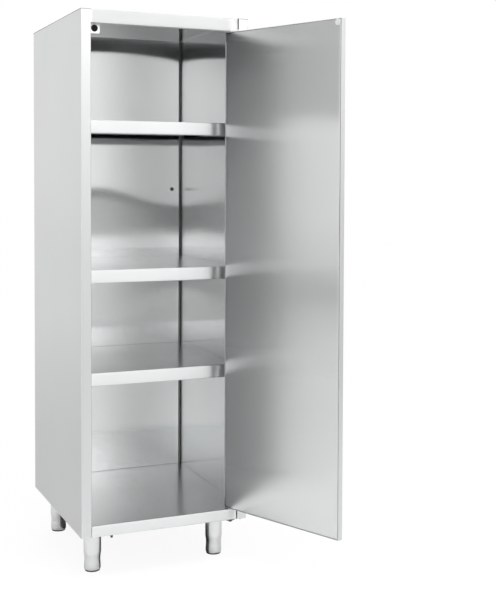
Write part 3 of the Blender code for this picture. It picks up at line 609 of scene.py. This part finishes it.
doorLeaf = {
    "reach": 0.504, "back": 0.020,    # from the pins to the free edge and to the hinge side's edge
    "thickness": 0.020, "sheet": 0.001,
    "edge": 0.0012, "edgePoints": 5,  # rounding of the outer face's edges
    "perSide": 24,                    # points along each side of the leaf
    "faceRings": (0.12, 0.02, 0.0035),     # insets of the rings that hold the outer face flat
    "rim": 0.0013, "rimEase": 0.0002, "rimDrop": 0.0003,
    "grooveWidth": 0.0029, "grooveDepth": 0.0046, "ledge": 0.016,
    "skinBend": 0.0012,
    "swell": 0.0003, "swellAcross": 0.61, "swellUp": 0.9, "swellPhases": (0.5, 1.0),
    "ripple": 0.5, "rippleUp": 0.33,
}
panLow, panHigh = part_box("door_outer_skin")
doorLow, doorHigh = panLow.z, panHigh.z
half = doorLeaf["thickness"] / 2


# A shallow tray: point (u, v) is the rectangle's rim at v, drawn in by ring u's inset, at ring u's depth. The
# rings run from the middle of the face out, round the edge and up the walls, then back down inside.
def trayShell(low, high, ringInsets, ringDepths, place, ringFinishes):
    corner = np.array([[0, 0], [1, 0], [1, 1], [0, 1]], float)
    share = np.linspace(0.0, 1.0, doorLeaf["perSide"], endpoint=False)[:, None]
    rim = np.concatenate([corner[i] + (corner[(i + 1) % 4] - corner[i]) * share for i in range(4)])
    low, high = np.array(low), np.array(high)
    rings = []
    for inset, depth in zip(ringInsets, ringDepths):
        flat = (low + inset) + rim * ((high - inset) - (low + inset))
        rings.append(np.stack([flat[:, 0], np.full(len(flat), depth), flat[:, 1]], axis=1))
    points = np.concatenate(rings)
    quads = gridQuads(len(rings), len(rim), True)
    uv = points[:, [0, 2]]
    turn = np.array(place)
    return points @ turn[:3, :3].T + turn[:3, 3], quads, uv, np.repeat(ringFinishes, len(rim))


wall, edge, rim, rimEase = (doorLeaf[key] for key in ("sheet", "edge", "rim", "rimEase"))
ledge, groove = doorLeaf["ledge"], half - doorLeaf["grooveDepth"]
rimTop = half - doorLeaf["rimDrop"]
middle = (doorLeaf["reach"] + doorLeaf["back"]) / 2      # first and last ring close on the middle line
arc = np.linspace(0.0, np.pi / 2, doorLeaf["edgePoints"])
insets = [middle, *doorLeaf["faceRings"]]
outerRings = len(insets)
depths = [-half] * outerRings
insets += [*(edge * (1 - np.sin(arc))), 0.0, rimEase, rim - rimEase, rim]
depths += [*(-half + edge * (1 - np.cos(arc))), rimTop, half, half, rimTop]
insets += [rim, ledge, ledge, wall, wall, middle]
depths += [groove, groove, groove - wall, groove - wall, -half + wall, -half + wall]
ringFinishes = [0] * outerRings + [1] * (len(insets) - 1 - outerRings)
tray = trayShell((-doorLeaf["reach"], doorLow), (doorLeaf["back"], doorHigh), insets, depths, doorTurn,
                 ringFinishes)
makePiece("door_outer_pan", [tray], [outerSteel, edgeSteel], ["door_outer_skin"], "door")


# Slack of the inner sheet: a sine across it times a sine up it, plus a shorter sine up it
def doorWave(along, level):
    phaseAcross, phaseUp = doorLeaf["swellPhases"]
    swell = np.sin(along * 2 * np.pi / doorLeaf["swellAcross"] + phaseAcross)
    swell = swell * np.sin(level * 2 * np.pi / doorLeaf["swellUp"] + phaseUp)
    ripple = np.sin(level * 2 * np.pi / doorLeaf["rippleUp"])
    return doorLeaf["swell"] * (swell + doorLeaf["ripple"] * ripple)


# The inner sheet is folded back along its upright edges and stands inside the rim, with a groove all round.
inset = doorLeaf["rim"] + doorLeaf["grooveWidth"]
skinLeft, skinRight = -doorLeaf["reach"] + inset, doorLeaf["back"] - inset
skinBack = groove + sheetWork["gap"]
corners = [(skinLeft, skinBack), (skinLeft, half), (skinRight, half), (skinRight, skinBack)]
skin = foldedShell(corners, "xy", doorLow + inset, doorHigh - inset, side=-1, wall=wall,
                   bend=doorLeaf["skinBend"], wave=doorWave)
makePiece("door_inner_sheet", [skin], [doorSteel], ["door_inner_skin"], "door", place=doorTurn)

gripShape = {
    "inset": 0.048, "base": 0.020, "standoff": 0.026, "lip": 0.014,
    "sheet": 0.0015, "bend": 0.0030, "step": 0.004,
    "middle": 1.000, "height": 0.160, "screwInset": 0.025,
}
gripEdge = -doorLeaf["reach"] + gripShape["inset"]
gripBack = -half - sheetWork["gap"]
gripLow = gripShape["middle"] - gripShape["height"] / 2
gripHigh = gripShape["middle"] + gripShape["height"] / 2
gripFront = gripBack - gripShape["standoff"]
corners = [
    (gripEdge + gripShape["base"], gripBack),
    (gripEdge, gripBack),
    (gripEdge, gripFront),
    (gripEdge + gripShape["lip"], gripFront),
]
shell = foldedShell(corners, "xy", gripLow, gripHigh, wall=gripShape["sheet"], bend=gripShape["bend"],
                    step=gripShape["step"])
makePiece("grip_pull", [shell], [faceSteel], ["grip"], "door", place=doorTurn)

screwShape = {
    "head": 0.0038, "flat": 0.62, "dome": 0.0022, "brim": 0.35,    # flat and brim are shares of head and dome
    "shank": 0.0019, "length": 0.0080, "socket": 0.0014, "deep": 0.0012,
    "bends": (0.0001, 0.0002, 0.0006, 0.0006, 0.0001, 0.0001, 0.0004),
}


# Pan-head screw: a turned profile from the socket's floor over the head to the shank's end. The place's Z
# points into the work, from the head's seat.
def screwShell(place):
    shape, seat = screwShape, -sheetWork["gap"]
    top = seat - shape["dome"]
    corners = [
        (0.0, top + shape["deep"]),
        (shape["socket"], top + shape["deep"]),
        (shape["socket"], top),
        (shape["head"] * shape["flat"], top),
        (shape["head"], seat - shape["dome"] * shape["brim"]),
        (shape["head"], seat),
        (shape["shank"], seat),
        (shape["shank"], shape["length"]),
        (0.0, shape["length"]),
    ]
    return turnedShell(corners, shape["bends"], place, sides=24, steps=3)


screwX = gripEdge + (gripShape["sheet"] + gripShape["base"]) / 2
for label, height in (("a", gripLow + gripShape["screwInset"]), ("b", gripHigh - gripShape["screwInset"])):
    place = doorTurn @ aimed((screwX, gripBack - gripShape["sheet"], height), (0.0, 1.0, 0.0))
    name = "grip_screw_" + label
    makePiece("grip_button_" + label, [screwShell(place)], [screwSteel], [name], "door")
print("door made")

# Legs and feet

legTube = {
    "radius": 0.030, "waist": 0.0275, "wall": 0.0015,
    "taperTop": 0.066, "foot": 0.006,      # straight above the taper and below it
    "bends": (0.05, 0.02, 0.0004, 0.0004, 0.02, 0.05, 0.0004),
}
footShape = {
    "radius": 0.0285, "belly": 0.017, "neck": 0.003, "stud": 0.006,
    "bends": (0.006, 0.05, 0.004, 0.0003, 0.0005, 0.001),
    "soleShadeSpread": 0.004, "soleBend": 0.0008,
}
for place in legPlaces:
    low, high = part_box("leg_tube_" + place)
    centre = Matrix.Translation(((low.x + high.x) / 2, (low.y + high.y) / 2, 0.0))
    radius, waist, tube = legTube["radius"], legTube["waist"], legTube["wall"]
    taperTop, taperFoot = legTube["taperTop"], low.z + legTube["foot"]
    corners = [
        (radius, high.z),
        (radius, taperTop),
        (waist, taperFoot),
        (waist, low.z),
        (waist - tube, low.z),
        (waist - tube, taperFoot),
        (radius - tube, taperTop),
        (radius - tube, high.z),
    ]
    shell = turnedShell(corners, legTube["bends"], centre, closed=True, steps=5)
    makePiece("leg_" + place, [shell], [tubeSteel], ["leg_tube_" + place])
    footLow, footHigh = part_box("foot_" + place)
    base, top = footLow.z, low.z - sheetWork["gap"]
    corners = [
        (0.0, base),
        (footShape["radius"], base),
        (footShape["radius"], footShape["belly"]),
        (waist, top - footShape["neck"]),
        (waist, top),
        (footShape["stud"], top),
        (footShape["stud"], footHigh.z),
        (0.0, footHigh.z),
    ]
    shell = turnedShell(corners, footShape["bends"], centre, steps=6)
    makePiece("screw_foot_" + place, [shell], [tubeSteel], ["foot_" + place], "foot_" + place)
    padLow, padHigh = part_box("foot_pad_" + place)
    # The dark sole pad is drawn wider than its part, so that it shows as a dark line round each foot's base: a
    # real pad, widened as painted shade
    padRadius = (padHigh.x - padLow.x) / 2 + footShape["soleShadeSpread"]
    corners = [(0.0, padLow.z), (padRadius, padLow.z), (padRadius, padHigh.z), (0.0, padHigh.z)]
    shell = turnedShell(corners, footShape["soleBend"], centre)
    makePiece("sole_" + place, [shell], [solePad], ["foot_pad_" + place], "foot_" + place)
print("legs made")

# Small hardware

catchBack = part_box("catch_plate")[1].y
for label in ("a", "b"):
    low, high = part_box("catch_screw_" + label)
    centre = ((low.x + high.x) / 2, catchBack, (low.z + high.z) / 2)
    shell = screwShell(aimed(centre, (0.0, -1.0, 0.0)))
    makePiece("catch_button_" + label, [shell], [screwSteel], ["catch_screw_" + label])

boltShape = {
    "washer": 1.35, "crown": 0.84,         # shares of the head's radius
    "washerHigh": 0.0008, "seat": 0.0009, "chamfer": 0.0010,
    "washerBend": 0.0002, "bend": 0.0001,
}


# Hexagon head with a chamfered top, and a washer: two turned profiles, pointing along the place's Z
def boltShells(place, radius, high):
    rim, washerHigh, seat = radius * boltShape["washer"], boltShape["washerHigh"], boltShape["seat"]
    corners = [(0.0, 0.0), (rim, 0.0), (rim, washerHigh), (0.0, washerHigh)]
    washer = turnedShell(corners, boltShape["washerBend"], place, sides=32)
    corners = [
        (0.0, seat),
        (radius, seat),
        (radius, high - boltShape["chamfer"]),
        (radius * boltShape["crown"], high),
        (0.0, high),
    ]
    return [washer, turnedShell(corners, boltShape["bend"], place, sides=6)]


plateBolt = {"head": 0.0058, "high": 0.0042, "spread": 0.045}
shells = []
for place in legPlaces:
    low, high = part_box("leg_plate_" + place)
    centre = (low + high) / 2
    for across, along in ((-1, -1), (-1, 1), (1, -1), (1, 1)):
        x, y = centre.x + across * plateBolt["spread"], centre.y + along * plateBolt["spread"]
        shells += boltShells(aimed((x, y, low.z), (0.0, 0.0, -1.0)), plateBolt["head"], plateBolt["high"])
makePiece("leg_plate_bolts", shells, [screwSteel])

# Blind rivets down both rear flanges: a turned low dome with the broken mandrel's dimple in it
rivetShape = {
    "head": 0.0034, "high": 0.0011, "sunk": 0.0006,
    "brim": 0.35, "crown": 0.45, "dimple": 0.36, "dimpleFoot": 0.45,   # shares of the height and of the head
    "bends": (0.0002, 0.0003, 0.0006, 0.0002),
    "inset": 0.010, "first": 0.060, "count": 7,
}
head, high = rivetShape["head"], rivetShape["high"]
corners = [
    (0.0, -rivetShape["sunk"]),
    (head, -rivetShape["sunk"]),
    (head, high * rivetShape["brim"]),
    (head * rivetShape["crown"], high),
    (head * rivetShape["dimple"], high * rivetShape["dimpleFoot"]),
    (0.0, high * rivetShape["dimpleFoot"]),
]
levels = np.linspace(bodyLow + rivetShape["first"], leftHigh.z - rivetShape["first"], rivetShape["count"])
shells = []
for x in (leftX + rivetShape["inset"], rightX - rivetShape["inset"]):
    for z in levels:
        shells.append(turnedShell(corners, rivetShape["bends"], aimed((x, rearY, z), (0.0, 1.0, 0.0)), 24))
makePiece("back_rivets", shells, [screwSteel])

# One blind fixing through the back sheet, beside the right corner: its turned profile as radius and height
fixingShape = {
    "x": 0.188, "z": 1.320,
    "profile": ((0.0, -0.0008), (0.0078, -0.0008), (0.0078, 0.0010), (0.0036, 0.0030), (0.0026, 0.0012),
                (0.0, 0.0012)),
    "bends": (0.0002, 0.0003, 0.0006, 0.0002),
}
fixing = backWarp(np.array([[fixingShape["x"], backLow.y, fixingShape["z"]]]))[0]
shell = turnedShell(fixingShape["profile"], fixingShape["bends"], aimed(tuple(fixing), (0.0, -1.0, 0.0)), 28)
makePiece("back_fixing", [shell], [shadeSteel])

# Under the floor's front fold: the pivot's foot with its nut, the bonding screw and a small stud, all in the
# shade steel as painted shade
pivotFoot = {"length": 0.030, "depth": 0.014, "cut": 0.45, "sheet": 0.0025, "nut": 0.0070, "nutHigh": 0.0050}
bonding = {
    "x": -0.2672, "inset": 0.009, "head": 0.0046, "high": 0.0095,
    "studShift": 0.038, "studHead": 0.0030, "studHigh": 0.0040,
}
down = (0.0, 0.0, -1.0)
length, depth = pivotFoot["length"] / 2, pivotFoot["depth"] / 2
cut = depth * pivotFoot["cut"]
outline = [(-length, cut - depth), (cut - length, -depth), (length - cut, -depth), (length, cut - depth)]
outline += [(-x, -y) for x, y in outline]
outline = np.array(outline) + np.array([doorAxis.x, doorAxis.y])
underside = bodyLow - sheetWork["gap"]
soleZ = underside - pivotFoot["sheet"]
plate = plateShell(outline, "xy", soleZ, underside)
nut = boltShells(aimed((doorAxis.x, doorAxis.y, soleZ), down), pivotFoot["nut"], pivotFoot["nutHigh"])
makePiece("pivot_foot", [plate] + nut, [shadeSteel])
seatY, studX = frontY + bonding["inset"], doorAxis.x + bonding["studShift"]
shells = boltShells(aimed((bonding["x"], seatY, bodyLow), down), bonding["head"], bonding["high"])
shells += boltShells(aimed((studX, seatY, bodyLow), down), bonding["studHead"], bonding["studHigh"])
makePiece("bonding_screw", shells, [shadeSteel])

# The joint between the left stile and the rail is welded and dressed flush
weldShape = {"width": 0.0080, "proud": 0.0002, "sunk": 0.0006, "footShort": 0.0012, "topShort": 0.0004}
weldLeft, weldRight = railLeft - weldShape["width"] / 2, railLeft + weldShape["width"] / 2
weldFoot, weldTop = railBottom + weldShape["footShort"], leftHigh.z - weldShape["topShort"]
outline = [(weldLeft, weldFoot), (weldRight, weldFoot), (weldRight, weldTop), (weldLeft, weldTop)]
weld = plateShell(outline, "xz", frontY - weldShape["proud"], frontY + weldShape["sunk"])
makePiece("rail_weld", [weld], [faceSteel])
print("hardware made")

# Remaining CAD nodes keep their shape and take a finish

finishes = {
    "steel": screwSteel, "inner_steel": innerSteel, "magnet": magnetBlack, "bush": nylonWhite, "pad": solePad,
}
ownFinish = {"striker_plate": strikerSteel, "catch_plate": strikerSteel}
slotOf = {part["node"]: part["material_slot"] for part in frame["record"]["subparts"]}
for name, node in nodes.items():
    if not node.hide_render:
        node.data.materials.clear()
        node.data.materials.append(ownFinish.get(name, finishes[slotOf[name]]))

# Stage: pale floor, white room, one soft front lamp, a fill over the floor, and grey flats and cards that
# only reflections see; the dark card under the cupboard is painted shade

studio = {
    "floorSize": 60.0,
    "floorTone": 0.13, "floorGlow": 0.90,      # for the camera: mostly glow, with a faint shadow
    "floorPaint": 0.90, "floorDull": 0.9,      # for reflections: a real pale floor, lit and shaded
    "floorMirror": 0.06,                       # and a glow that grows with the distance from the cupboard
    "floorFar": 0.24, "floorFarRun": (1.2, 8.0),
    "fillPlace": (-0.05, -0.85, 1.9), "fillTarget": (-0.05, -0.849, 0.0),
    "fillSize": (0.9, 0.7), "fillPower": 12.0,
    "roomSoft": 0.75,                          # the room as the light on dull surfaces
    "boxPlace": (0.0, -6.0, 2.62), "boxTarget": (0.0, 0.0, 2.62), "boxSize": (6.4, 2.7), "boxPower": 70.0,
    "brightest": 4.0,                          # glow of a flat whose tone fills its ramp
    "cardHigh": 0.001, "flatSunk": 0.02,
    "bounces": 12,         # light reaches deep into the cupboard only by many reflections
}
whiteLight = (1.0, 1.0, 1.0, 1.0)


# One level for camera rays plus another, a number or a socket, for mirror and glass rays
def rayShare(tree, cameraLevel, glossyLevel):
    rays = tree.nodes.new("ShaderNodeLightPath").outputs
    mirror = mathNode(tree, "Math", "MAXIMUM", {0: rays["Is Glossy Ray"], 1: rays["Is Transmission Ray"]})
    mirrorPart = mathNode(tree, "Math", "MULTIPLY", {0: mirror, 1: glossyLevel})
    return mathNode(tree, "Math", "MULTIPLY_ADD", {0: rays["Is Camera Ray"], 1: cameraLevel, 2: mirrorPart})


def stageSheet(name, corners, material):
    mesh = bpy.data.meshes.new(name)
    mesh.from_pydata(corners, [], [(0, 1, 2, 3)])
    mesh.materials.append(material)
    sheet = bpy.data.objects.new(name, mesh)
    bpy.context.scene.collection.objects.link(sheet)
    sheet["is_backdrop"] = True
    return sheet


def makeFloor():
    material, tree, shader = nodeMaterial("pale_floor")
    links, new = tree.links, tree.nodes.new
    cameraRay = new("ShaderNodeLightPath").outputs["Is Camera Ray"]
    paint = rangeNode(tree, cameraRay, (0.0, 1.0), (studio["floorPaint"], studio["floorTone"]))
    links.new(paint.outputs["Result"], shader.inputs["Base Color"])
    shader.inputs["Roughness"].default_value = studio["floorDull"]
    shader.inputs["Specular IOR Level"].default_value = 0.0
    shader.inputs["Emission Color"].default_value = whiteLight
    place = new("ShaderNodeTexCoord").outputs["Object"]
    distance = mathNode(tree, "VectorMath", "LENGTH", {0: place}, "Value")
    far = rangeNode(tree, distance, studio["floorFarRun"], (studio["floorMirror"], studio["floorFar"]))
    far.interpolation_type = "SMOOTHSTEP"
    glow = rayShare(tree, studio["floorGlow"], far.outputs["Result"])
    links.new(glow, shader.inputs["Emission Strength"])
    size = studio["floorSize"]
    corners = [(-size, -size, 0), (size, -size, 0), (size, size, 0), (-size, size, 0)]
    stageSheet("studio_floor", corners, material)


def makeRoom():
    world = bpy.data.worlds.new("studio_room")
    bpy.context.scene.world = world
    world.use_nodes = True
    tree = world.node_tree
    background = tree.nodes["Background"]
    soft = studio["roomSoft"]
    level = mathNode(tree, "Math", "ADD", {0: rayShare(tree, 1.0 - soft, 1.0 - soft), 1: soft})
    background.inputs["Color"].default_value = whiteLight
    tree.links.new(level, background.inputs["Strength"])


# A sheet that only reflections see. It glows by a tone that runs along one axis through (place, tone) stops.
def tonedSheet(name, corners, axis, stops):
    low, high = stops[0][0], stops[-1][0]
    material = bpy.data.materials.new(name)
    material.use_nodes = True
    tree = material.node_tree
    tree.nodes.clear()
    links, new = tree.links, tree.nodes.new
    split = new("ShaderNodeSeparateXYZ")
    links.new(new("ShaderNodeTexCoord").outputs["Object"], split.inputs["Vector"])
    scaled = rangeNode(tree, split.outputs[axis], (low, high), (0.0, 1.0))
    ramp = new("ShaderNodeValToRGB")
    band, brightest = ramp.color_ramp.elements, studio["brightest"]
    for index, (height, tone) in enumerate(stops):
        spot = (height - low) / (high - low)
        element = band[index] if index < 2 else band.new(spot)
        element.position = spot
        element.color = (*[tone / brightest] * 3, 1.0)
    links.new(scaled.outputs["Result"], ramp.inputs["Fac"])
    glow = new("ShaderNodeEmission")
    glow.inputs["Strength"].default_value = brightest
    links.new(ramp.outputs["Color"], glow.inputs["Color"])
    links.new(glow.outputs["Emission"], new("ShaderNodeOutputMaterial").inputs["Surface"])
    sheet = stageSheet(name, corners, material)
    sheet.visible_camera = sheet.visible_diffuse = sheet.visible_shadow = False
    sheet.visible_transmission = sheet.visible_volume_scatter = False


# A standing flat, width wide and centred at a place, from just below the floor up to its last stop
def makeFlat(name, place, facing, width, stops):
    side = Vector((-facing[1], facing[0], 0.0)).normalized() * (width / 2)
    foot = Vector((*place, -studio["flatSunk"]))
    rise = Vector((0.0, 0.0, stops[-1][0] + studio["flatSunk"]))
    tonedSheet(name, [foot - side, foot + side, foot + side + rise, foot - side + rise], "Z", stops)


# A card on the floor between two x values, whose tone runs with y
def makeCard(name, x0, x1, stops):
    y0, y1, z = stops[0][0], stops[-1][0], studio["cardHigh"]
    tonedSheet(name, [(x0, y0, z), (x1, y0, z), (x1, y1, z), (x0, y1, z)], "Y", stops)


def softLamp(name, place, target, size, power):
    data = bpy.data.lights.new(name, "AREA")
    data.shape = "RECTANGLE"
    data.size, data.size_y = size
    data.energy = power
    lamp = bpy.data.objects.new(name, data)
    bpy.context.scene.collection.objects.link(lamp)
    lamp.location = place
    lamp.rotation_euler = (Vector(target) - Vector(place)).to_track_quat("-Z", "Y").to_euler()
    lamp.visible_camera = lamp.visible_glossy = False


makeFloor()
makeRoom()
for name, kind in (("front_box", "box"), ("floor_fill", "fill")):
    softLamp(name, *(studio[kind + value] for value in ("Place", "Target", "Size", "Power")))

# x from, x to and the stops along y
cards = {
    # The under card is painted shade: a near-black card under the cupboard, seen only in reflections, standing in
    # for the shadow on the floor there
    "under_card": (-0.275, 0.135, [(0.00, 0.02), (0.565, 0.02)]),
    "floor_card_right": (0.0, 3.0, [
        (-5.95, 0.66), (-5.00, 0.68), (-2.35, 0.80), (-0.95, 0.84), (-0.13, 0.92)]),
    "floor_card_left": (-3.0, 0.0, [
        (-5.95, 0.48), (-5.00, 0.52), (-2.35, 0.80), (-0.95, 0.86), (-0.40, 0.92)]),
}
# Place, facing, width and the stops up the flat
flats = {
    "front_flat_right": ((3.0, -6.05), (0.0, 1.0), 6.0, [
        (0.00, 0.70), (0.10, 0.72), (0.49, 0.76), (0.54, 1.04), (0.79, 1.04), (0.795, 0.56), (1.10, 0.56),
        (1.13, 0.24), (1.225, 0.24), (1.227, 0.97), (2.2, 0.94), (2.5, 0.98), (3.4, 1.3), (4.0, 2.8),
        (9.0, 2.8)]),
    "front_flat_left": ((-3.0, -6.05), (0.0, 1.0), 6.0, [
        (0.00, 0.38), (0.12, 0.37), (0.49, 0.42), (0.54, 1.00), (0.79, 1.00), (0.795, 0.20), (1.10, 0.24),
        (1.13, 0.18), (1.225, 0.18), (1.227, 0.66), (1.8, 0.70), (2.0, 0.90), (3.4, 0.95), (4.0, 2.4),
        (9.0, 2.4)]),
    "side_flat": ((-3.40, 1.00), (0.94, -0.342), 2.6, [
        (0.00, 0.78), (0.24, 0.74), (0.41, 0.66), (0.553, 0.52), (0.62, 0.545), (0.75, 0.64), (0.78, 0.72),
        (0.95, 0.77), (1.10, 0.83), (1.77, 0.86), (1.80, 0.53), (2.50, 0.52), (3.6, 0.50)]),
    "right_flat": ((3.2, -1.5), (-0.95, 0.31), 3.0, [
        (0.00, 0.50), (0.30, 0.50), (0.90, 0.58), (1.60, 0.80), (2.40, 0.98), (4.00, 1.00)]),
}
for name, card in cards.items():
    makeCard(name, *card)
for name, flat in flats.items():
    makeFlat(name, *flat)

# Camera: the photograph's viewpoint, aimed by yaw, pitch and roll

view = {
    "place": (-1.3313, -3.6603, 1.3537),
    "yaw": 23.761,      # clockwise from +Y
    "pitch": 2.158,     # downwards
    "roll": 0.210,      # anticlockwise
    "lens": 66.17, "sensor": 36.0,
    "shiftY": -0.1278,
}
data = bpy.data.cameras.new("camera")
data.lens = view["lens"]
data.sensor_width = view["sensor"]
data.shift_y = view["shiftY"]
camera = bpy.data.objects.new("camera", data)
bpy.context.scene.collection.objects.link(camera)
yaw, pitch, roll = (math.radians(angle) for angle in (-view["yaw"], 90 - view["pitch"], view["roll"]))
turn = Matrix.Rotation(yaw, 4, "Z") @ Matrix.Rotation(pitch, 4, "X") @ Matrix.Rotation(roll, 4, "Z")
camera.matrix_world = Matrix.Translation(view["place"]) @ turn
bpy.context.scene.camera = camera
bpy.context.scene.view_settings.view_transform = "Standard"
bpy.context.scene.cycles.glossy_bounces = studio["bounces"]
print("stage and camera made")

low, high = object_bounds()
